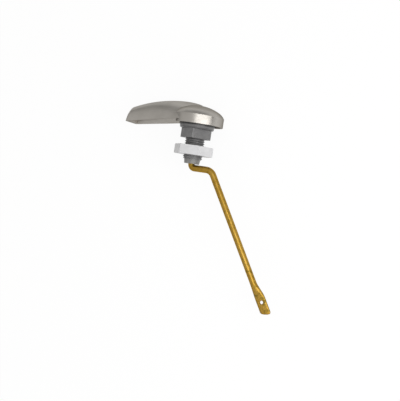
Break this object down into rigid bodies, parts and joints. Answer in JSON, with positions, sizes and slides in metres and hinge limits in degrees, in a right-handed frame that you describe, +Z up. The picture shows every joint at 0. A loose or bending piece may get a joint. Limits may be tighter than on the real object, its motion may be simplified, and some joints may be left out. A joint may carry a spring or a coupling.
{
  "type": "cistern lever",
  "caption": "Side flush lever with a domed satin metal handle, a flanged bushing with its clamping nut, and a bent brass rod with a flat drilled end.",
  "frame": {"origin": "on the spindle's axis, in the plane where the flange bears on the cistern's wall", "axes": "+Y along the spindle into the cistern, +X along the paddle, +Z up; the rod leaves towards -X"},
  "size_m": [0.1697, 0.1919, 0.05],
  "materials": {
    "satin_metal": "satin nickel plate on a zinc casting",
    "grey_plastic": "moulded dark grey plastic",
    "white_plastic": "moulded white plastic",
    "dark_plastic": "moulded dark grey plastic",
    "rod_brass": "drawn brass, left bare",
    "screw_steel": "zinc-plated steel"
  },
  "bodies": {
    "bushing": {"bushing": "grey_plastic"},
    "lever": {"handle": "satin_metal", "spindle": "dark_plastic", "handle_screw": "screw_steel", "rod": "rod_brass", "set_screw": "screw_steel"},
    "nut": {"nut": "white_plastic"}
  },
  "joints": [
    {"name": "handle_turn", "type": "hinge", "parent": "bushing", "child": "lever", "pos_m": [0, 0, 0], "axis": [0, 1, 0], "range_deg": [0, 38]},
    {"name": "nut_travel", "type": "slide", "parent": "bushing", "child": "nut", "axis": [0, 1, 0], "range_m": [-0.0068, 0.004]}
  ]
}
